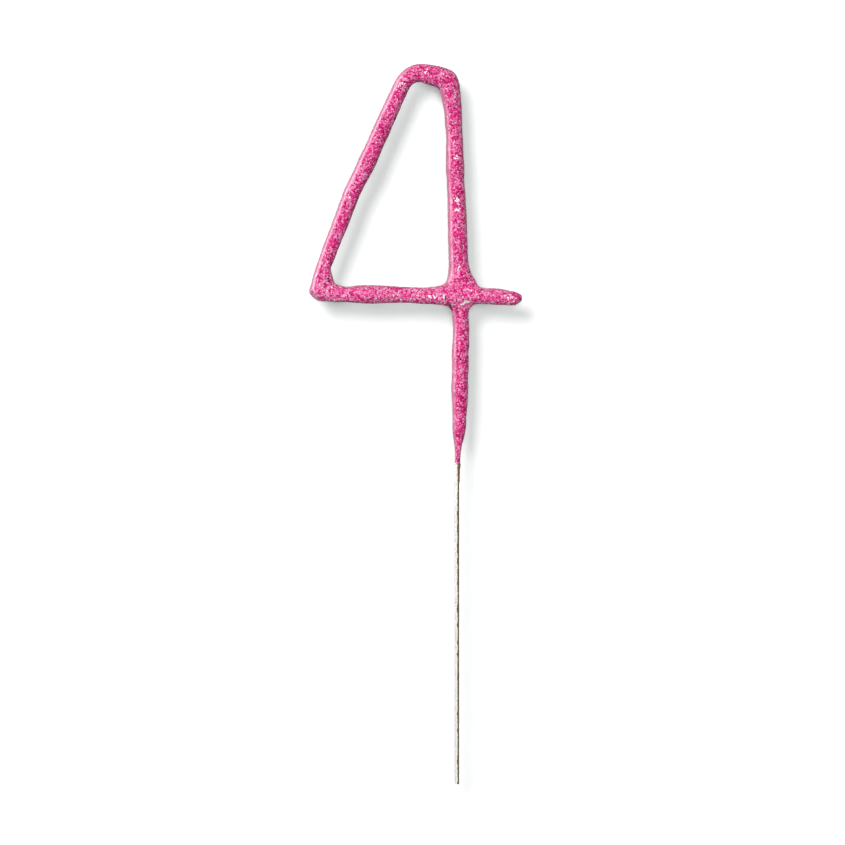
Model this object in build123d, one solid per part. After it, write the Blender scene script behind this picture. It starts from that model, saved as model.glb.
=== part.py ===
"""A sparkler in the shape of a figure 4: one bent steel wire, dipped in spark composition and colour-coated.

Millimetres, +Z up the stick. The origin is the middle of the wire's cut lower end, +X is to the right,
and the bar of the 4 passes in front of the stem, on the -Y side.
"""
import os
from math import cos, radians, sin, sqrt, tan

from build123d import *

# Wire and the bare stick that is held
wire_diameter = 1.1
stick_length = 80.0
crossing_gap = 0.1          # air between the bar's wire and the stem's wire where they cross

# Figure 4: the corners of the bent wire, X from the stick and Z above the stick
bow_x, bow_z = 1.0, 33.5
shoulder_x, shoulder_z = -1.4, 96.5
heel_x, heel_z = -12.2, 98.0
knee_x, knee_z = -26.3, 68.0
corner_x, corner_z = -35.1, 42.6
tip_x, tip_z = 16.1, 41.4
shoulder_bend = 4.2
heel_bend = 5.5

# Spark composition: an even dip, hidden in the coat
dip_radius = 1.6
dip_start = 14.0            # along the stem from its lower end
dip_cover = 3.6             # the dip ends this far inside the bar's tip
wire_cover = 0.7            # the wire ends this far inside the dip

# Colour coat: outer radius of the strokes
collar_radius = 0.75        # thin edge of the coat on the stick
flare_radius = 1.6
stem_radius = 2.2
shoulder_radius = 2.6       # the coat pools at the top of the stem
slope_radius = 2.1
bar_radius = 2.1
taper_radius = 1.6          # near the end of the bar
nose_radius = 0.7           # blunt end of the bar

# Colour coat: lengths over which it swells and tapers
collar_length = 2.5
flare_length = 6.5
swell_length = 9.0
shoulder_swell_length = 10.0
taper_length = 3.6
nose_length = 1.8

# Where strokes run together
crossing_fillet = 3.0
pool_inset = 0.84           # the coat pools at the lower left corner, round a point this far inside it
pool_height = 0.15          # how much the pool stands out of the strokes
web_radius = 2.5            # hollow curve of the filled inner corner
web_thickness = 2.0
web_bite = 0.1              # how deep the web's ends sink into the strokes

wire_radius = wire_diameter / 2
bar_y = -(wire_diameter + crossing_gap)


def above_stick(x, z, y=0.0):
    return Vector(x, y, stick_length + z)


# The wire's corners, from the cut end of the stick to the end inside the bar
stick_end = Vector(0, 0, 0)
neck = above_stick(0, 0)
bow = above_stick(bow_x, bow_z)
shoulder = above_stick(shoulder_x, shoulder_z)
heel = above_stick(heel_x, heel_z)
knee = above_stick(knee_x, knee_z, bar_y * (heel_z - knee_z) / (heel_z - corner_z))
corner = above_stick(corner_x, corner_z, bar_y)
tip = above_stick(tip_x, tip_z, bar_y)

up_stem = (bow - neck).normalized()
up_riser = (shoulder - bow).normalized()
up_foot = (knee - corner).normalized()
along_bar = (tip - corner).normalized()
dip_end = tip - along_bar * dip_cover
wire_end = dip_end - along_bar * wire_cover

# One wire: slight kinks at the neck, bow and knee, round bends at the top, a sharp fold at the corner
riser, shoulder_arc, top, heel_arc, slope = FilletPolyline(
    bow, shoulder, heel, knee, radius=[shoulder_bend, heel_bend]
).edges()
lower_wire = Polyline(stick_end, neck, bow).edges()
folded_wire = Polyline(knee, corner, wire_end).edges()
wire_path = Wire([*lower_wire, riser, shoulder_arc, top, heel_arc, slope, *folded_wire])
fold_angle = radians(up_foot.get_angle(along_bar))
fold_reach = wire_radius / tan(fold_angle / 2)      # the outside of the fold, past the corner

# The strokes of the coat end beside the middle of the pool
pool_middle = corner + (up_foot + along_bar).normalized() * pool_inset
stroke_start = pool_inset * cos(fold_angle / 2)
slope_foot = corner + up_foot * stroke_start
bar_root = corner + along_bar * stroke_start
pool_radius = max(slope_radius, bar_radius) + pool_inset * sin(fold_angle / 2) + pool_height


def tube(path, radius):
    return sweep(Plane(origin=path @ 0, z_dir=path % 0) * Circle(radius), path=path, transition=Transition.RIGHT)


def taper(start, end, first_radius, last_radius):
    return Plane(origin=start, z_dir=end - start) * Solid.make_cone(first_radius, last_radius, (end - start).length)


def coated_strokes():
    """Stem, top and slope, from the thin edge on the stick to the corner."""
    collar_end = neck + up_stem * collar_length
    flare_end = collar_end + up_stem * flare_length
    swell_end = flare_end + up_stem * swell_length
    riser_end = riser @ 1
    swell_start = riser_end - up_riser * shoulder_swell_length
    slope_path = Wire([heel_arc, slope, Line(knee, slope_foot).edge()])
    return Part() + [
        tube(Line(neck, collar_end).edge(), collar_radius),
        taper(collar_end, flare_end, collar_radius, flare_radius),
        taper(flare_end, swell_end, flare_radius, stem_radius),
        tube(Polyline(swell_end, bow, swell_start).wire(), stem_radius),
        taper(swell_start, riser_end, stem_radius, shoulder_radius),
        tube(shoulder_arc, shoulder_radius),
        taper(top @ 0, top @ 1, shoulder_radius, slope_radius),
        tube(slope_path, slope_radius),
    ]


def coated_bar():
    nose_start = tip - along_bar * nose_length
    taper_start = nose_start - along_bar * taper_length
    return Part() + [
        tube(Line(bar_root, taper_start).edge(), bar_radius),
        taper(taper_start, nose_start, bar_radius, taper_radius),
        taper(nose_start, tip, taper_radius, nose_radius),
    ]


def corner_web():
    """The inner corner between slope and bar, filled to a hollow curve."""
    depth = sqrt(min(slope_radius, bar_radius) ** 2 - (web_thickness / 2) ** 2) - web_bite
    inner_corner = corner + (up_foot + along_bar) * depth / sin(fold_angle)
    leg = 2 * web_radius / tan(fold_angle / 2)
    curve = FilletPolyline(
        inner_corner + up_foot * leg, inner_corner, inner_corner + along_bar * leg, radius=web_radius
    ).edges()[1]
    outline = Wire([Line(corner, curve @ 0).edge(), curve, Line(curve @ 1, corner).edge()])
    return extrude(Face(outline), web_thickness / 2, both=True)


def coat_form():
    """Everything inside the coat's surface: the strokes, run together where they meet."""
    strokes = coated_strokes()
    crossbar = coated_bar()
    form = strokes + crossbar
    crossing = [e for e in new_edges(strokes, crossbar, combined=form) if e.center().X > (corner_x + bow_x) / 2]
    form = fillet(crossing, crossing_fillet)
    return form + Pos(*pool_middle) * Sphere(pool_radius) + corner_web()


def dip_form():
    """Everything inside the coat: straight lengths, mitred round the bends of the wire."""
    stem_points = [neck + up_stem * dip_start, bow]
    bend_points = [arc @ share for arc in (shoulder_arc, heel_arc) for share in (0, 0.5, 1)]
    slope_end = corner - up_foot * fold_reach
    bar_start = corner - along_bar * fold_reach
    strokes = tube(Polyline(*stem_points, *bend_points, knee, slope_end).wire(), dip_radius)
    return strokes + tube(Line(bar_start, dip_end).edge(), dip_radius)


core_wire = tube(wire_path, wire_radius)
dip = dip_form()
nodes = {
    "core_wire": core_wire,
    "spark_composition": dip - core_wire,
    "colour_coat": coat_form() - dip - core_wire,
}
os.makedirs("parts", exist_ok=True)
for name, solid in nodes.items():
    solid.label = name
    export_step(solid, f"parts/{name}.step")
    print(name, len(solid.solids()), "solid", round(solid.volume, 2), "mm3")
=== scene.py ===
# %% [markdown]
# # A sparkler bent to a figure 4
# A sparkler is a soft steel wire, bent to a figure, dipped in a grey spark composition and rolled in
# pink glitter while the dip is still wet. The CAD model gives the wire, the dip and the coat their real
# sizes. This lesson dresses them: it sets up the picture, then makes each finish from nodes, then gives
# the coat the lumps, webs and glitter that a dipped thing has.

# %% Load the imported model
import math

import bmesh
import bpy
import numpy as np
from mathutils import Matrix, Vector, noise
from mathutils.bvhtree import BVHTree
from mathutils.kdtree import KDTree


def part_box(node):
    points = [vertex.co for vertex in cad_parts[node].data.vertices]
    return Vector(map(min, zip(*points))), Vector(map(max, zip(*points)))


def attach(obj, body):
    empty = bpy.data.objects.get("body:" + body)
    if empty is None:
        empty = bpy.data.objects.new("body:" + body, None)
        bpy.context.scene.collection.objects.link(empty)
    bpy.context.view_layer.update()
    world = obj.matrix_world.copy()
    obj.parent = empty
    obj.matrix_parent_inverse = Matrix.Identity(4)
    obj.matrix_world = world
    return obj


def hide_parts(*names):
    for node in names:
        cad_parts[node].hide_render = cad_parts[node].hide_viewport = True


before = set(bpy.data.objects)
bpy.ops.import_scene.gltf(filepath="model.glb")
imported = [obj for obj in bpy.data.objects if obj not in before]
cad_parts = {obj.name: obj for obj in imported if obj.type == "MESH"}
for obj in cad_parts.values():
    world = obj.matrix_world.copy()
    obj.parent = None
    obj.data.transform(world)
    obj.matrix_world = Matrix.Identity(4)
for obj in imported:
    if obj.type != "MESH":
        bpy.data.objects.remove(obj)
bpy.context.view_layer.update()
mm = 0.001

# %% [markdown]
# ## Camera
# The photograph looks square onto the flat figure, with hardly any perspective, so a long lens far away
# fits it. An orthographic camera would do as well, but a long lens also works for the views round the
# side. The picture is a square of the object's own plane, so its side and its middle place the camera.

# %% Camera
picture_side = 211.25 * mm
picture_middle = Vector((-8.625 * mm, 0, 90.375 * mm))
lens = 150
sensor = 36
camera_distance = picture_side * lens / sensor

camera_data = bpy.data.cameras.new("camera")
camera_data.lens = lens
camera_data.sensor_width = sensor
camera = bpy.data.objects.new("camera", camera_data)
camera.location = picture_middle - Vector((0, camera_distance, 0))
camera.rotation_euler = (math.radians(90), 0, 0)
bpy.context.scene.collection.objects.link(camera)
bpy.context.scene.camera = camera
bpy.context.scene.view_settings.view_transform = "Standard"
print("camera stands", round(camera_distance, 3), "m in front")

# %% [markdown]
# ## Writing shaders as sums
# A shader is a graph of nodes, and clicking a graph together in Python takes many lines. Here one small
# class holds a socket. Python's operators on it add Math nodes, so `1 - mask` reads like arithmetic, and
# its `node` method adds any other node: settings first, then values or links for the sockets. The nodes
# that come up most have short names of their own: `axis` takes one coordinate of a place, and `climb` goes
# evenly from a low value to a high one while its input goes from a start to an end.

# %% A socket that can be used in sums
class Signal:
    def __init__(self, tree, socket=None):
        self.tree = tree
        self.socket = socket

    def node(self, kind, settings=None, inputs=None, output=0):
        made = self.tree.nodes.new("ShaderNode" + kind)
        for name, value in (settings or {}).items():
            if name == "stops":
                ramp = made.color_ramp.elements
                while len(ramp) < len(value):
                    ramp.new(1.0)
                for stop, (place, colour) in zip(ramp, value):
                    stop.position = place
                    stop.color = (*colour, 1)
            else:
                setattr(made, name, value)
        for name, value in (inputs or {}).items():
            if isinstance(value, Signal):
                self.tree.links.new(value.socket, made.inputs[name])
            else:
                made.inputs[name].default_value = value
        return Signal(self.tree, made.outputs[output] if made.outputs else None)

    def out(self, name):
        return Signal(self.tree, self.socket.node.outputs[name])

    def maths(self, operation, *values):
        return self.node("Math", {"operation": operation}, dict(enumerate(values)))

    def vector(self, operation, *values):
        return self.node("VectorMath", {"operation": operation}, dict(enumerate(values)))

    def stretch(self, factor):
        return self.node("VectorMath", {"operation": "SCALE"}, {0: self, "Scale": factor})

    def axis(self, name):
        return self.node("SeparateXYZ", inputs={0: self}, output=name)

    def climb(self, start, end, low=0.0, high=1.0):
        return self.node("MapRange", inputs={"Value": self, 1: start, 2: end, 3: low, 4: high})

    def ramp(self, *stops):
        return self.node("ValToRGB", {"stops": stops}, {"Fac": self})

    def blend(self, first, second):
        return self.node("Mix", {"data_type": "RGBA"}, {0: self, 6: first, 7: second}, output=2)

    def __add__(self, other):
        return self.maths("ADD", self, other)

    __radd__ = __add__

    def __mul__(self, other):
        return self.maths("MULTIPLY", self, other)

    __rmul__ = __mul__

    def __sub__(self, other):
        return self.maths("SUBTRACT", self, other)

    def __rsub__(self, other):
        return self.maths("SUBTRACT", other, self)

    def __gt__(self, other):
        return self.maths("GREATER_THAN", self, other)


def new_material(name):
    material = bpy.data.materials.new(name)
    material.use_nodes = True
    material.node_tree.nodes.clear()
    return material, Signal(material.node_tree)


def place_in_mm(pen):
    return pen.node("TexCoord", output="Object").stretch(1 / mm)


def part_of(colour, channel):
    return colour.node("SeparateColor", inputs={"Color": colour}, output=channel)


def dress(pen, **sockets):
    """A Principled surface; a socket's name is written with _ for its spaces."""
    inputs = {name.replace("_", " "): value for name, value in sockets.items()}
    shader = pen.node("BsdfPrincipled", inputs=inputs)
    pen.node("OutputMaterial", inputs={"Surface": shader})


print("shader tools ready")

# %% [markdown]
# ## White paper
# In the photograph the sparkler lies on white paper and the camera looks straight down on it. In the
# object's own frame that paper is a plane just behind the figure, so it is the floor of this picture.
# It has to be pure white, yet show the soft grey shadow. A white diffuse surface gives the shadow, and
# a little emission that only camera, mirror and glass rays see lifts the rest to white without lighting
# the object. The photograph shows no light thrown back from the paper onto the strokes, so diffuse rays
# don't see it. Seen from behind, the sheet is clear and throws no shadow, so that the views round the back
# are neither blocked nor dark.

# %% Paper and world
paper_gap = 6.4 * mm
paper_size = 4.0
paper_white = (0.83, 0.85, 0.845, 1)
paper_glow = 0.31
world_level = 0.10


def seen_directly(pen):
    camera_ray = pen.node("LightPath", output="Is Camera Ray")
    mirror_ray = camera_ray.out("Is Glossy Ray")
    glass_ray = camera_ray.out("Is Transmission Ray")
    return camera_ray.maths("MAXIMUM", camera_ray.maths("MAXIMUM", camera_ray, mirror_ray), glass_ray)


def paper_material():
    material, pen = new_material("white_paper")
    diffuse = pen.node("BsdfDiffuse", inputs={"Color": paper_white})
    glow = pen.node("Emission", inputs={"Strength": seen_directly(pen) * paper_glow})
    sheet = pen.node("AddShader", inputs={0: diffuse, 1: glow})
    clear = pen.node("BsdfTransparent")
    behind = pen.node("NewGeometry", output="Backfacing")
    one_sided = pen.node("MixShader", inputs={0: behind, 1: sheet, 2: clear})
    pen.node("OutputMaterial", inputs={"Surface": one_sided})
    return material


def flat_sheet(name, corners, material):
    mesh = bpy.data.meshes.new(name)
    mesh.from_pydata(corners, [], [range(len(corners))])
    mesh.materials.append(material)
    sheet = bpy.data.objects.new(name, mesh)
    bpy.context.scene.collection.objects.link(sheet)
    return sheet


paper_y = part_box("colour_coat")[1].y + paper_gap
half = paper_size / 2
paper_corners = [(-half, paper_y, -half), (half, paper_y, -half),
                 (half, paper_y, half), (-half, paper_y, half)]
paper = flat_sheet("paper", paper_corners, paper_material())
paper.visible_diffuse = False
paper.visible_shadow = False

world = bpy.data.worlds.new("studio")
world.use_nodes = True
world.node_tree.nodes.clear()
pen = Signal(world.node_tree)
brightness = world_level + seen_directly(pen) * (1 - world_level)
sky = pen.node("Background", inputs={"Color": (1, 1, 1, 1), "Strength": brightness})
pen.node("OutputWorld", inputs={"Surface": sky})
bpy.context.scene.world = world
print("paper lies", round(paper_gap / mm, 2), "mm behind the coat")

# %% [markdown]
# ## Studio light
# Two soft boxes light the colours. The key stands to the upper left and throws the shadow, and the fill
# stands behind the camera and keeps the right half of each stroke from going dark. A third box further
# round to the left lights nothing: only mirror-like rays see it, so it draws the pale band of gloss along
# the left side of each stroke. A dark card on the right does the opposite, for the right edges. The last
# box stands behind and to the right, where it lights what the views from the back and the right show.

# %% Lamps and cards
subject = Vector((-9 * mm, 0, 120 * mm))


def soft_box(name, direction, distance, width, height, watts):
    lamp = bpy.data.lights.new(name, "AREA")
    lamp.shape = "RECTANGLE"
    lamp.size = width
    lamp.size_y = height
    lamp.energy = watts
    made = bpy.data.objects.new(name, lamp)
    away = Vector(direction).normalized()
    made.location = subject + away * distance
    made.rotation_euler = away.to_track_quat("Z", "Y").to_euler()
    made.visible_camera = False
    bpy.context.scene.collection.objects.link(made)
    return made


# Each box: the way it stands from the subject, then its distance, width and height in m, and its watts
key = soft_box("key", (-0.333, -1.0, 0.365), 1.8, 0.60, 0.60, 22.0)
key.visible_glossy = False
fill = soft_box("fill", (0.03, -1.0, 0.03), 2.0, 0.4, 0.4, 13.0)
fill.visible_glossy = False
gloss = soft_box("gloss_box", (-0.885, -0.19, 0.425), 0.6, 0.26, 0.58, 4.2)
gloss.visible_diffuse = False
back = soft_box("back", (0.32, 0.94, 0.10), 2.0, 0.4, 0.4, 38.0)
back.visible_glossy = False


def dark_card_material():
    material, pen = new_material("dark_card")
    dress(pen, Base_Color=(0.02, 0.015, 0.015, 1), Roughness=0.9)
    return material


card_x, card_near, card_low, card_high = 0.22, -0.27, -0.3, 0.45
card_corners = [(card_x, card_near, card_low), (card_x, paper_y, card_low),
                (card_x, paper_y, card_high), (card_x, card_near, card_high)]
card = flat_sheet("dark_card", card_corners, dark_card_material())
card.visible_camera = False
card.visible_diffuse = False
card.visible_shadow = False

# %% [markdown]
# ## Steel wire
# The stick is plain drawn steel. Its front is painted a creamy white, a painted highlight, and its left
# edge and its back a darker grey, painted shade. Its right side is painted shade, in a rust brown that the
# stains break up, brownest just under the coat. Noise that is stretched along Z makes the faint lines of
# the drawing die. Rounder noise makes the stains, and the edge of the painted shade wanders with it.
# Where a point lies across the wire, in depth and in height then says which of these it gets. One
# plain grey would be quicker, but the stick would look like a ruled line.

# %% Steel finish
neck_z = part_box("colour_coat")[0].z / mm
neck_reach = 12
# Across the wire, in mm: where the painted shade in rust brown begins and is full, how far its edge
# wanders, and its shift at the neck
shade_rust_begins, shade_rust_full, shade_rust_wander, shade_rust_shift = 0.0, 0.2, 0.9, 0.2
left_shade_full, left_shade_gone = -0.50, -0.32
back_shade_full, front_highlight_full = 0.05, -0.15
along_wire = (1, 1, 0.04)
shade_rust_brown = (0.17, 0.105, 0.078, 1)
neck_brown = (0.17, 0.085, 0.045, 1)


def wire_steel_material():
    material, pen = new_material("wire_steel")
    place = place_in_mm(pen)
    drawn_out = place.vector("MULTIPLY", place, along_wire)
    lines = pen.node("TexNoise", inputs={"Vector": drawn_out, "Scale": 6.0})
    stains = pen.node("TexNoise", inputs={"Vector": place, "Scale": 0.9, "Detail": 4.0})
    near_coat = place.axis("Z").climb(neck_z - neck_reach, neck_z)
    across = place.axis("X")
    wandering = across + (stains - 0.5) * shade_rust_wander - near_coat * shade_rust_shift
    right_shade_rust = wandering.climb(shade_rust_begins, shade_rust_full)
    clear_of_left_shade = across.climb(left_shade_full, left_shade_gone)
    in_front = place.axis("Y").climb(back_shade_full, front_highlight_full)
    tone = stains * 0.6 + lines * 0.4
    painted_shade_grey = tone.ramp((0.3, (0.30, 0.28, 0.25)), (0.7, (0.56, 0.55, 0.51)))
    painted_highlight_cream = tone.ramp((0.3, (0.70, 0.65, 0.55)), (0.5, (0.90, 0.87, 0.78)), (0.7, (0.96, 0.94, 0.86)))
    # Painted highlight and shade: the front, clear of the left edge, gets the creamy colour, and the left
    # edge and the back get the darker grey
    steel = (clear_of_left_shade * in_front).blend(painted_shade_grey, painted_highlight_cream)
    # Painted shade: the right side is painted in rust brown, broken up by the stains
    shade_and_rust = (right_shade_rust * (0.66 + stains * 0.5)).blend(steel, shade_rust_brown)
    browned = (near_coat * right_shade_rust).blend(shade_and_rust, neck_brown)
    bump = pen.node("Bump", inputs={"Strength": 0.4, "Distance": 0.03 * mm, "Height": tone})
    dress(pen, Base_Color=browned, Metallic=0.95, Roughness=0.14 + stains * 0.16, Normal=bump)
    return material


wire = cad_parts["core_wire"]
wire.data.materials.clear()
wire.data.materials.append(wire_steel_material())
wire.data.shade_smooth()
print("wire dressed, coat begins at", round(neck_z, 1), "mm")

# %% [markdown]
# ## Spark composition
# The dip inside is a dry grey crust of nitrate and metal powder. The coat hides all of it, but a model
# that is cut open or taken apart should still show the right stuff: grey, matt, with bright metal specks.

# %% Composition finish
def composition_material():
    material, pen = new_material("spark_crust")
    place = place_in_mm(pen)
    clumps = pen.node("TexNoise", inputs={"Vector": place, "Scale": 2.2, "Detail": 5.0})
    specks = pen.node("TexVoronoi", inputs={"Vector": place, "Scale": 4.0})
    bright = part_of(specks.out("Color"), "Red") > 0.9
    crust = clumps.ramp((0.3, (0.05, 0.05, 0.05)), (0.7, (0.2, 0.19, 0.18)))
    bump = pen.node("Bump", inputs={"Strength": 0.6, "Distance": 0.1 * mm, "Height": clumps})
    dress(pen, Base_Color=bright.blend(crust, (0.6, 0.6, 0.62, 1)), Metallic=bright * 0.8,
          Roughness=0.9 - bright * 0.5, Normal=bump)
    return material


spark_crust = composition_material()
print("composition finish:", len(spark_crust.node_tree.nodes), "nodes")

# %% [markdown]
# ## Glitter coat: its finish
# Close up the coat is a mosaic. Each grain has its own pink and lies at its own angle, so that one is
# dark while its neighbour catches the lamp. A Voronoi texture splits space into such cells and gives each
# a random colour: one channel picks the pink from a ramp, and all three tilt the cell's normal. A clear
# lacquer over it, the Coat, keeps the smooth normal, and so it shows the long soft bands of gloss. It was
# sprayed on from the upper left, and there it is thickest: on that side of each stroke, where the skin
# faces the front, it hides the grain's tilt, and the grain's colour is blended to a paler pink, a painted
# sheen along the band of gloss. On the other side the gloss is gone. Near the height of the bar the pick
# is lifted a little, so the bar's grains are paler.

# %% Lacquer
spray_side = (-0.89, -0.05, 0.45)
gloss_begins, gloss_full, least_gloss = 0.42, 0.62, 0.06
# Where the lacquer hides the grain's tilt and paints a paler sheen on its colour: where it begins and is
# full as the skin faces the spray, how much, and where it fades towards the back
pool_begins, pool_full, pool_depth = 0.36, 0.60, 0.80
pool_ends, pool_fade = 0.0, 0.3


def facing_spray(pen):
    """1 where the skin looks straight at the spray, and -1 where it looks away."""
    normal = pen.node("TexCoord", output="Normal")
    return pen.node("VectorMath", {"operation": "DOT_PRODUCT"}, {0: normal, 1: spray_side}, output="Value")


def lacquer(pen):
    return facing_spray(pen).climb(gloss_begins, gloss_full, least_gloss)


def grain_hidden_and_sheen(pen):
    """How much the lacquer hides the grain's tilt, and how much paler painted sheen it lays on the grain's
    colour: most on the spray's side, and none round the back.
    """
    covered = facing_spray(pen).climb(pool_begins, pool_full)
    in_front = pen.node("TexCoord", output="Normal").axis("Y").climb(pool_ends, pool_ends - pool_fade)
    return covered * in_front * pool_depth


print("lacquer is sprayed from", spray_side)

# %% Pink glitter finish
deep_pink = (0.33, 0.004, 0.08)
hot_pink = (0.74, 0.014, 0.20)
bright_pink = (0.80, 0.04, 0.27)
pale_pink = (0.95, 0.40, 0.62)
painted_sheen_pink = (0.78, 0.19, 0.37)
grain_size = 0.38
fleck_size = 0.30
grain_lean = 0.45
# The height of the bar's middle, how far from it the grains are paler, and where that fades, in mm
bar_height, bar_reach, bar_fade = 121.8, 3.2, 0.8
bar_lift = 0.08
shade_share = 0.25
fleck_share = 0.1
fleck_strength = 0.7
grey = (0.5, 0.5, 0.5)


def glitter_material():
    material, pen = new_material("pink_glitter")
    place = place_in_mm(pen)
    grains = pen.node("TexVoronoi", inputs={"Vector": place, "Scale": 1 / grain_size})
    flecks = pen.node("TexVoronoi", inputs={"Vector": place, "Scale": 1 / fleck_size})
    shades = pen.node("TexNoise", inputs={"Vector": place, "Scale": 0.35})
    from_bar = pen.maths("ABSOLUTE", place.axis("Z") - bar_height)
    on_bar = from_bar.climb(bar_reach, bar_reach - bar_fade)
    own_pink = part_of(grains.out("Color"), "Red")
    pick = own_pink * (1 - shade_share) + shades * shade_share + on_bar * bar_lift
    mosaic = pick.ramp((0.16, deep_pink), (0.38, hot_pink), (0.68, bright_pink), (0.90, pale_pink))
    fleck = part_of(flecks.out("Color"), "Green") > 1 - fleck_share
    flecked = (fleck * fleck_strength).blend(mosaic, (*pale_pink, 1))
    hidden_and_sheen = grain_hidden_and_sheen(pen)
    # Painted sheen: on the spray's side, facing the front, the grain's colour is blended to a paler pink
    colour = hidden_and_sheen.blend(flecked, (*painted_sheen_pink, 1))
    tilt = grains.out("Color").vector("SUBTRACT", grains.out("Color"), grey)
    lean = tilt.stretch(grain_lean * (1 - hidden_and_sheen))
    normal = pen.node("NewGeometry", output="Normal")
    tilted = normal.vector("NORMALIZE", normal.vector("ADD", normal, lean))
    bump = pen.node("Bump", inputs={"Strength": 0.35, "Distance": 0.06 * mm, "Normal": tilted,
                                    "Height": 1 - grains})
    dress(pen, Base_Color=colour, Metallic=fleck * 0.2, Roughness=0.45 - fleck * 0.2, Normal=bump,
          Specular_IOR_Level=0.15, Coat_Weight=lacquer(pen), Coat_Roughness=0.33)
    return material


pink_glitter = glitter_material()
print("glitter finish:", len(pink_glitter.node_tree.nodes), "nodes")

# %% [markdown]
# ## Glitter coat: its body
# The coat could be modelled afresh, but then it might drift from the CAD part. Instead it starts from
# that part's own outside: the walls that lie against the dip and the wire are taken off, the hole that
# the wire leaves is closed, and a voxel remesh turns the rest into one even skin of small faces, fine
# enough to sculpt. All of this is done in millimetres, and scaled back at the end.

# %% Outside of the CAD coat
skin_voxel = 0.18
crust_voxel = 0.35
weld = 0.002
touching = 0.04


def in_mm(node):
    bm = bmesh.new()
    bm.from_mesh(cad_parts[node].data)
    bm.transform(Matrix.Scale(1 / mm, 4))
    return bm


def outside_of(node, *inner_nodes):
    bm = in_mm(node)
    bmesh.ops.remove_doubles(bm, verts=bm.verts, dist=weld)
    inner = [BVHTree.FromBMesh(in_mm(name)) for name in inner_nodes]
    walls = [f for f in bm.faces
             if min(tree.find_nearest(f.calc_center_median())[3] for tree in inner) < touching]
    bmesh.ops.delete(bm, geom=walls, context="FACES")
    bmesh.ops.holes_fill(bm, edges=[e for e in bm.edges if e.is_boundary])
    bmesh.ops.recalc_face_normals(bm, faces=bm.faces)
    mesh = bpy.data.meshes.new(node + "_outside")
    bm.to_mesh(mesh)
    bm.free()
    return mesh


def remeshed(mesh, voxel, rounds):
    carrier = bpy.data.objects.new("carrier", mesh)
    bpy.context.scene.collection.objects.link(carrier)
    skin = carrier.modifiers.new("skin", "REMESH")
    skin.mode = "VOXEL"
    skin.voxel_size = voxel
    soften = carrier.modifiers.new("soften", "SMOOTH")
    soften.iterations = rounds
    made = bpy.data.meshes.new_from_object(carrier.evaluated_get(bpy.context.evaluated_depsgraph_get()))
    bpy.data.objects.remove(carrier)
    return made


coat_mesh = remeshed(outside_of("colour_coat", "spark_composition", "core_wire"), skin_voxel, rounds=12)
crust_mesh = remeshed(outside_of("spark_composition", "core_wire"), crust_voxel, rounds=4)
print("coat skin:", len(coat_mesh.polygons), "faces, crust:", len(crust_mesh.polygons), "faces")

# %% [markdown]
# ## Glitter coat: pools
# At the lower left corner and where the strokes cross, the wet dip ran together and left no crease. The
# CAD solid has one there, because its strokes lie one in front of the other. Smoothing takes it out: each
# round moves every point near the place towards the middle of its neighbours.

# %% Smooth the joins
# Each pool: X and Z of its middle, its radius in mm, and how many rounds
pools = [
    (-34.6, 122.4, 4.5, 60),
    (1.0, 121.8, 4.5, 40),
]


def smooth_pools(mesh, places):
    bm = bmesh.new()
    bm.from_mesh(mesh)
    for x, z, radius, rounds in places:
        near = [v for v in bm.verts if math.hypot(v.co.x - x, v.co.z - z) < radius]
        for _ in range(rounds):
            bmesh.ops.smooth_vert(bm, verts=near, factor=0.5,
                                  use_axis_x=True, use_axis_y=True, use_axis_z=True)
    bm.to_mesh(mesh)
    bm.free()
    mesh.update()


smooth_pools(coat_mesh, pools)
print("pools smoothed:", len(pools))

# %% [markdown]
# ## Glitter coat: lumps and webs
# A dip is never even. It gathers at the shoulder and in the crooks of the crossing, sags to a belly on
# the bar and thins out on the slope, and no stroke is quite straight. A nudge slides the skin sideways
# under a soft round brush. A dab of the same brush pushes it out along its normals, or in where the
# height is negative. Noise then adds the small unevenness, and Voronoi cells the pebbles of the grain.

# %% Nudges and dabs
# Each nudge: X and Z of its middle, how far it moves to the right and up, and its spread, in mm
nudges = [
    (-10.5, 178.0, 0.0, 0.52, 6.0),
    (-3.4, 179.3, 0.0, -0.35, 2.0),
    (-0.4, 177.2, 0.15, 0.15, 1.6),
    (-0.8, 175.0, -0.40, -0.15, 4.0),
    (-0.8, 162.0, 0.18, 0.0, 9.0),
    (0.2, 142.0, 0.06, 0.0, 8.0),
    (0.4, 91.0, 0.25, 0.0, 10.0),
    (-20.5, 158.0, 0.18, 0.0, 10.0),
    (-22.5, 154.0, 0.25, 0.0, 7.0),
    (-32.3, 133.0, -0.45, 0.0, 7.0),
    (-15.5, 122.2, 0.0, 0.22, 7.0),
    (8.8, 121.6, 0.0, 0.33, 5.0),
    (14.0, 121.3, 0.0, -0.22, 2.5),
]
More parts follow.
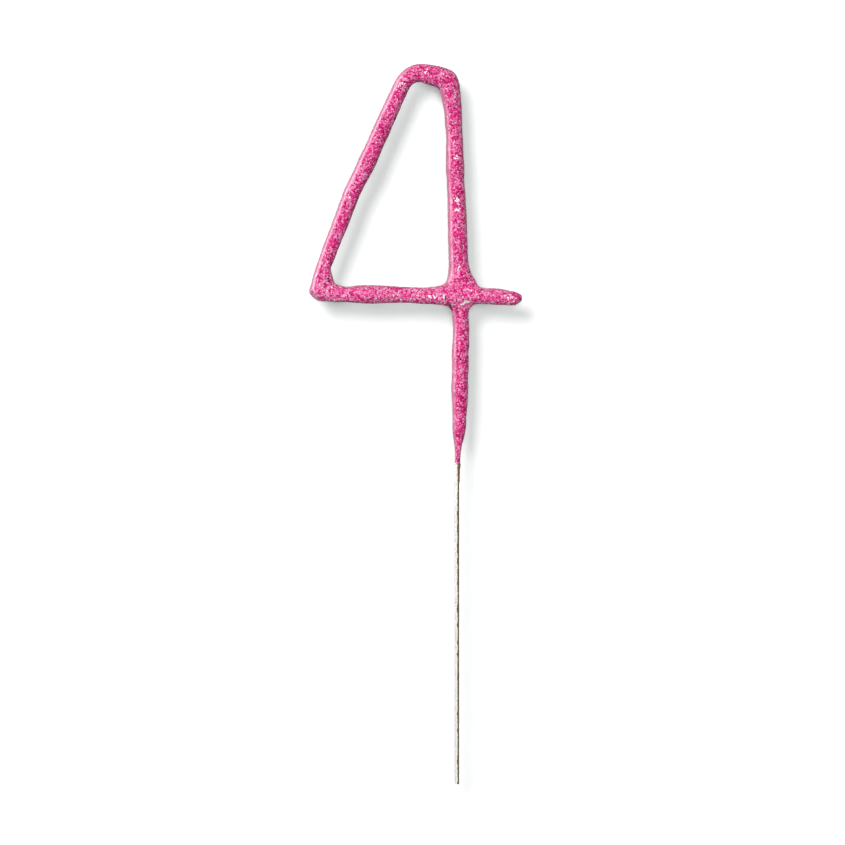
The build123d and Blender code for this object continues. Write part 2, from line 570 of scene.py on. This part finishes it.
# Each dab: X and Z of its middle, its height and its spread, in mm
dabs = [
    (0.6, 88.5, 0.22, 3.0),
    (0.6, 101.0, -0.10, 4.0),
    (1.0, 113.5, -0.15, 4.0),
    (2.7, 109.8, 0.15, 1.0),
    (2.7, 108.2, -0.15, 1.0),
    (0.3, 131.5, 0.28, 6.0),
    (0.0, 140.0, 0.26, 6.0),
    (0.1, 146.5, 0.10, 3.0),
    (-0.5, 154.0, 0.38, 2.4),
    (-0.8, 161.0, -0.12, 4.0),
    (-1.1, 168.0, -0.10, 4.0),
    (-2.6, 158.0, 0.10, 5.0),
    (1.0, 172.5, -0.28, 3.0),
    (-2.0, 176.5, 0.28, 4.0),
    (-8.2, 174.6, 0.50, 2.4),
    (-4.4, 172.6, 0.28, 2.4),
    (-15.3, 176.4, -0.12, 2.0),
    (-18.5, 164.5, 0.14, 6.0),
    (-22.8, 155.5, 0.35, 3.0),
    (-31.0, 134.5, -0.18, 6.0),
    (-31.0, 129.0, -0.42, 1.7),
    (-36.2, 121.0, -0.42, 2.2),
    (-31.2, 126.2, 0.80, 1.6),
    (-30.4, 125.7, 0.25, 1.5),
    (-27.9, 124.0, -0.25, 1.5),
    (-28.3, 122.4, -0.12, 2.5),
    (-21.5, 122.3, 0.28, 5.0),
    (-13.3, 122.1, -0.12, 3.0),
    (6.3, 121.6, -0.10, 2.5),
    (14.2, 120.0, 0.28, 2.2),
    (15.2, 122.2, 0.20, 1.4),
    (16.6, 120.8, -0.12, 1.2),
    (-2.8, 125.5, 1.00, 2.8),
    (-5.0, 124.4, 0.20, 2.0),
    (3.4, 126.2, 0.85, 2.4),
    (4.6, 126.0, 1.00, 1.6),
    (3.2, 128.4, 0.20, 1.8),
    (3.4, 119.4, -0.45, 2.0),
    (-3.6, 119.6, 0.15, 2.0),
]
# How far the skin sinks to make room for the flakes that lie on it, in mm
flake_room = 0.04


def read_points(mesh):
    points = np.empty(len(mesh.vertices) * 3, np.float32)
    mesh.vertices.foreach_get("co", points)
    return points.reshape(-1, 3).astype(float)


def write_points(mesh, points):
    mesh.vertices.foreach_set("co", points.astype(np.float32).ravel())
    mesh.update()


def brush(points, x, z, spread):
    return np.exp(-(np.hypot(points[:, 0] - x, points[:, 2] - z) / spread) ** 2)


def push_out(mesh, heights):
    normals = np.empty(len(mesh.vertices) * 3, np.float32)
    mesh.vertex_normals.foreach_get("vector", normals)
    write_points(mesh, read_points(mesh) + normals.reshape(-1, 3) * heights[:, None])


def slide(mesh, moves):
    points = read_points(mesh)
    steps = [brush(points, x, z, spread)[:, None] * (right, 0, up) for x, z, right, up, spread in moves]
    write_points(mesh, points + sum(steps))


def thickening(mesh):
    points = read_points(mesh)
    return sum(height * brush(points, x, z, spread) for x, z, height, spread in dabs)


# A nudge that fills the crook where two dabs meet, and the crooks to smooth, in the form of the pools
fills = [
    (3.9, 125.0, 0.85, 0.45, 1.5),
]
crooks = [
    (4.6, 125.4, 2.2, 25),
    (-3.6, 125.4, 3.0, 60),
]

slide(coat_mesh, nudges)
push_out(coat_mesh, thickening(coat_mesh) - flake_room)
slide(coat_mesh, fills)
smooth_pools(coat_mesh, crooks)
print("nudges:", len(nudges), "dabs:", len(dabs))

# %% Unevenness and grain
lump_size, lump_height = 3.2, 0.10
ripple_size, ripple_height = 1.3, 0.04
pebble_size, pebble_height = 0.70, 0.02
ragged_size, ragged_height, ragged_reach = 0.6, 0.5, 0.8


def unevenness(point):
    lumps = noise.noise(point / lump_size) * lump_height
    ripples = noise.noise(point / ripple_size) * ripple_height
    pebbles = (0.5 - noise.voronoi(point / pebble_size)[0][0]) * pebble_height
    return lumps + ripples + pebbles


def ragged_end(mesh):
    """The lower edge of the coat, where the dip ran down the wire and dried."""
    for vertex in mesh.vertices:
        above = vertex.co.z - neck_z
        if above < ragged_reach:
            vertex.co.z += noise.noise(vertex.co / ragged_size) * ragged_height * (1 - above / ragged_reach)


def add_piece(name, mesh, material, slot, *replaced):
    mesh.transform(Matrix.Scale(mm, 4))
    mesh.materials.clear()
    mesh.materials.append(material)
    piece = bpy.data.objects.new(name, mesh)
    bpy.context.scene.collection.objects.link(piece)
    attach(piece, "root")
    if replaced:
        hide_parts(*replaced)
    print(name, len(mesh.polygons), "faces,", [round(v / mm, 2) for v in piece.dimensions], "mm")
    return piece


push_out(coat_mesh, np.array([unevenness(v.co) for v in coat_mesh.vertices]))
ragged_end(coat_mesh)
coat_mesh.shade_smooth()
coat = add_piece("glitter_coat", coat_mesh, pink_glitter, "pink_coat", "colour_coat")
coat.visible_diffuse = False

# %% [markdown]
# ## Composition under the coat
# The dip follows the same wire, so it gets the same nudges, and it is thinner wherever the coat is. Then
# it stays inside the coat all round. It could stay as the plain CAD solid, but that would come through
# the coat where the coat was pushed in.

# %% Crust
crust_margin = 0.1
slide(crust_mesh, nudges)
push_out(crust_mesh, np.minimum(thickening(crust_mesh), 0) - flake_room - crust_margin)
crust_mesh.shade_smooth()
add_piece("spark_crust", crust_mesh, spark_crust, "composition", "spark_composition")

# %% [markdown]
# ## Smear at the neck
# Just under the coat a little of the dip ran down the right side of the wire and dried to a brown smear.
# It is a sleeve round the wire whose radius swells on that side and sinks into the steel everywhere else,
# so that only the swollen part shows. A collar of it sits against the coat, and a thinner run goes down
# from there and stops short.

# %% Smear
smear_top, smear_low = 0.6, -5.6
smear_rings, smear_sides = 34, 20
smear_inside, smear_height = 0.45, 0.36
smear_side = Vector((1.0, -0.35, 0.0)).normalized()
smear_focus = 1.5
collar_swell, collar_drop = 0.45, 1.4
run_swell, run_length, run_fade = 0.70, 5.4, 1.2
clot_swell, clot_pitch = 0.9, 1.6


def smear_material():
    material, pen = new_material("brown_smear")
    place = place_in_mm(pen)
    clots = pen.node("TexNoise", inputs={"Vector": place, "Scale": 2.6, "Detail": 3.0})
    brown = clots.ramp((0.35, (0.10, 0.05, 0.03)), (0.65, (0.30, 0.17, 0.11)))
    bump = pen.node("Bump", inputs={"Strength": 0.5, "Distance": 0.05 * mm, "Height": clots})
    dress(pen, Base_Color=brown, Roughness=0.55 + clots * 0.3, Normal=bump)
    return material


def smear_point(ring, side):
    height = neck_z + smear_low + (smear_top - smear_low) * ring / (smear_rings - 1)
    turn = 2 * math.pi * side / smear_sides
    outward = Vector((math.cos(turn), math.sin(turn), 0))
    drop = max(0, neck_z - height)
    collar = collar_swell * math.exp(-(drop / collar_drop) ** 2)
    run = run_swell * min(1, max(0, (run_length - drop) / run_fade))
    clots = 1 + clot_swell * noise.noise(Vector((0, turn, height * clot_pitch)))
    facing = max(0, outward.dot(smear_side)) ** smear_focus
    radius = smear_inside + smear_height * (collar + run) * clots * facing
    return outward * radius + Vector((0, 0, height))


rings = range(smear_rings)
rows = [[smear_point(ring, side) for side in range(smear_sides)] for ring in rings]
turns = [(side, (side + 1) % smear_sides) for side in range(smear_sides)]
walls = [(r * smear_sides + a, r * smear_sides + b, (r + 1) * smear_sides + b, (r + 1) * smear_sides + a)
         for r in rings[:-1] for a, b in turns]
lower_cap = tuple(range(smear_sides))[::-1]
upper_cap = tuple(range((smear_rings - 1) * smear_sides, smear_rings * smear_sides))
smear_mesh = bpy.data.meshes.new("smear")
smear_mesh.from_pydata([point for row in rows for point in row], [], [*walls, lower_cap, upper_cap])
smear_mesh.shade_smooth()
add_piece("neck_smear", smear_mesh, smear_material(), "composition")

# %% [markdown]
# ## Glitter flakes
# The largest flakes lie in the coat as thin slivers cut from film. Some thousands are set down at random
# places of the skin, turned at random, each sunk so that it stays half in the lacquer. They are closed
# little plates, not loose faces. The lacquer runs over them all, so they borrow the skin's own normals and
# the gloss passes over them unbroken. A number kept for each plate, its tint, lets one material give them
# different pinks. A few more are set down at listed places: white ones are painted glints of light, and
# dark ones are bare grains, but painted shade under the crossing and at the bar's end. On the bar the
# strewn ones are lifted to a paler tint, like the grains under them.

# %% Flake finish
def flake_material():
    material, pen = new_material("glitter_flake")
    tint = pen.node("Attribute", {"attribute_name": "tint"}, output="Fac")
    # Painted glints and shade: the ramp's white end colours the listed white flakes as glints of light, and
    # its near-black start colours the dark specks, which are bare grains, and painted shade under the
    # crossing and at the bar's end
    colour = tint.ramp((0.0, (0.03, 0.002, 0.008)), (0.12, deep_pink), (0.3, hot_pink),
                       (0.5, (0.88, 0.13, 0.39)), (0.85, (0.97, 0.52, 0.72)), (1.0, (1.0, 0.96, 0.97)))
    dress(pen, Base_Color=colour, Roughness=0.5 - tint * 0.15, Specular_IOR_Level=0.15,
          Coat_Weight=lacquer(pen), Coat_Roughness=0.33)
    return material


glitter_flake = flake_material()
print("flake finish:", len(glitter_flake.node_tree.nodes), "nodes")

# %% Places of the flakes
flake_count = 9000
flake_seed = 4
strewn_tint_range = (0.05, 0.90)
drowned = 0.92
# Each cluster: X and Z of its middle in mm, how many flakes, their tint and how many times larger they are
glints_and_dark_specks = [
    # Tint 1 or near it paints a glint of light on a white flake. Tint 0 or near it is a dark speck: a bare
    # grain, but painted shade in the crook under the crossing (X -3.0 to -1.1) and at the bar's end (X
    # 15.8).
    (-14.2, 174.3, 3, 1.0, 1.3),
    (-13.5, 175.0, 3, 1.0, 1.2),
    (-12.8, 175.8, 1, 1.0, 1.2),
    (-8.0, 178.0, 3, 1.0, 1.2),
    (-2.4, 177.3, 2, 0.97, 1.2),
    (-0.2, 156.2, 3, 1.0, 1.3),
    (0.0, 146.0, 4, 1.0, 1.3),
    (0.0, 143.4, 5, 1.0, 1.3),
    (0.3, 129.3, 3, 1.0, 1.2),
    (-26.6, 146.5, 3, 1.0, 1.2),
    (-7.1, 121.7, 3, 1.0, 1.5),
    (-5.6, 121.7, 3, 1.0, 1.5),
    (-3.0, 121.7, 4, 1.0, 1.5),
    (1.7, 120.4, 3, 1.0, 1.6),
    (2.8, 120.6, 3, 1.0, 1.6),
    (12.0, 122.3, 2, 1.0, 1.2),
    (12.9, 121.8, 2, 1.0, 1.2),
    (12.4, 121.8, 1, 0.0, 1.0),
    (-32.0, 125.9, 3, 0.0, 1.4),
    (-31.6, 125.7, 1, 1.0, 1.2),
    (-3.0, 121.2, 2, 0.0, 1.3),
    (-2.0, 119.8, 3, 0.0, 1.3),
    (-1.5, 119.3, 4, 0.0, 1.3),
    (-1.1, 118.8, 3, 0.0, 1.3),
    (15.8, 120.9, 6, 0.07, 1.3),
    (0.5, 106.2, 1, 0.0, 1.2),
    (-7.9, 177.7, 1, 0.0, 1.2),
]
cluster_spread = 0.3
chance = np.random.default_rng(flake_seed)


def scattered(mesh, count):
    """Places for the flakes, fewer of them where thick lacquer covers the grain."""
    areas = np.array([p.area for p in mesh.polygons])
    facing = np.array([p.normal.dot(Vector(spray_side)) for p in mesh.polygons])
    weights = areas * (1 - drowned * np.clip((facing - pool_begins) / (pool_full - pool_begins), 0, 1))
    picked = chance.choice(len(areas), count, p=weights / weights.sum())
    centres = np.array([mesh.polygons[i].center for i in picked])
    normals = np.array([mesh.polygons[i].normal for i in picked])
    return centres, normals


def set_glints_and_specks(skin):
    """Where the flakes of the listed glints and dark specks meet the skin, straight in from the front."""
    centres, normals, tints, sizes = [], [], [], []
    for x, z, count, tint, size in glints_and_dark_specks:
        for side, rise in chance.normal(0, cluster_spread, (count, 2)):
            start = Vector(((x + side) * mm, -1, (z + rise) * mm))
            place, normal, _, _ = skin.ray_cast(start, Vector((0, 1, 0)))
            if place:
                centres.append(place)
                normals.append(normal)
                tints.append(tint)
                sizes.append(size)
    return np.array(centres), np.array(normals), np.array(tints), np.array(sizes)


def paler_on_bar(centres):
    from_bar = np.abs(centres[:, 2] / mm - bar_height)
    return np.clip((bar_reach - from_bar) / bar_fade, 0, 1) * bar_lift


skin = BVHTree.FromPolygons([v.co for v in coat_mesh.vertices], [p.vertices for p in coat_mesh.polygons])
strewn_centres, strewn_normals = scattered(coat_mesh, flake_count)
hand_centres, hand_normals, glint_and_speck_tints, hand_sizes = set_glints_and_specks(skin)
strewn_tints = chance.uniform(*strewn_tint_range, flake_count) + paler_on_bar(strewn_centres)
centres = np.concatenate([strewn_centres, hand_centres])
normals = np.concatenate([strewn_normals, hand_normals])
tints = np.concatenate([strewn_tints, glint_and_speck_tints])
sizes = np.concatenate([np.ones(flake_count), hand_sizes])
print("flakes strewn:", flake_count, "set by hand:", len(hand_centres))

# %% Cut and lay the flakes
flake_length, flake_width, flake_thickness = (0.30, 0.62), (0.18, 0.30), 0.05
# A sliver's outline, as steps of half its length and half its width from its middle
outline = [(-1, -1), (0, -1), (1, -1), (1, 1), (0, 1), (-1, 1)]
ring_points = len(outline)


def slivers(skin, centres, normals, sizes):
    """The points of each sliver in mm: its outline is pressed onto the skin, once below and once above."""
    count = len(centres)
    along = np.cross(normals, chance.normal(0, 1, (count, 3)))
    along /= np.linalg.norm(along, axis=1, keepdims=True)
    across = np.cross(normals, along)
    half_length = along * chance.uniform(*flake_length, (count, 1)) / 2 * sizes[:, None]
    half_width = across * chance.uniform(*flake_width, (count, 1)) / 2 * sizes[:, None]
    flat = centres[:, None] + np.stack([a * half_length + b * half_width for a, b in outline], axis=1) * mm
    pressed = [skin.find_nearest(point)[:2] for point in flat.reshape(-1, 3)]
    ring = np.array([place for place, _ in pressed]).reshape(count, -1, 3) / mm
    rise = np.array([normal for _, normal in pressed]).reshape(count, -1, 3) * flake_thickness / 2
    return np.concatenate([ring - rise, ring + rise], axis=1)


def borrow_normals(mesh, skin):
    """Shade each point of a mesh as the nearest point of the skin."""
    tree = KDTree(len(skin.vertices))
    for vertex in skin.vertices:
        tree.insert(vertex.co, vertex.index)
    tree.balance()
    borrowed = [skin.vertices[tree.find(v.co)[1]].normal for v in mesh.vertices]
    mesh.normals_split_custom_set_from_vertices(borrowed)


corners = slivers(skin, centres, normals, sizes)
steps = [(k, (k + 1) % ring_points) for k in range(ring_points)]
sliver_sides = [(a, b, b + ring_points, a + ring_points) for a, b in steps]
sliver_faces = [(5, 4, 1, 0), (4, 3, 2, 1), (6, 7, 10, 11), (7, 8, 9, 10), *sliver_sides]
starts = range(0, 2 * ring_points * len(corners), 2 * ring_points)
faces = [tuple(start + i for i in face) for start in starts for face in sliver_faces]
flake_mesh = bpy.data.meshes.new("flakes")
flake_mesh.from_pydata(corners.reshape(-1, 3).tolist(), [], faces)
tint_layer = flake_mesh.attributes.new("tint", "FLOAT", "FACE")
tint_layer.data.foreach_set("value", np.repeat(tints, len(sliver_faces)).astype(np.float32))
flakes = add_piece("glitter_flakes", flake_mesh, glitter_flake, "pink_coat")
flakes.visible_diffuse = False
borrow_normals(flake_mesh, coat_mesh)
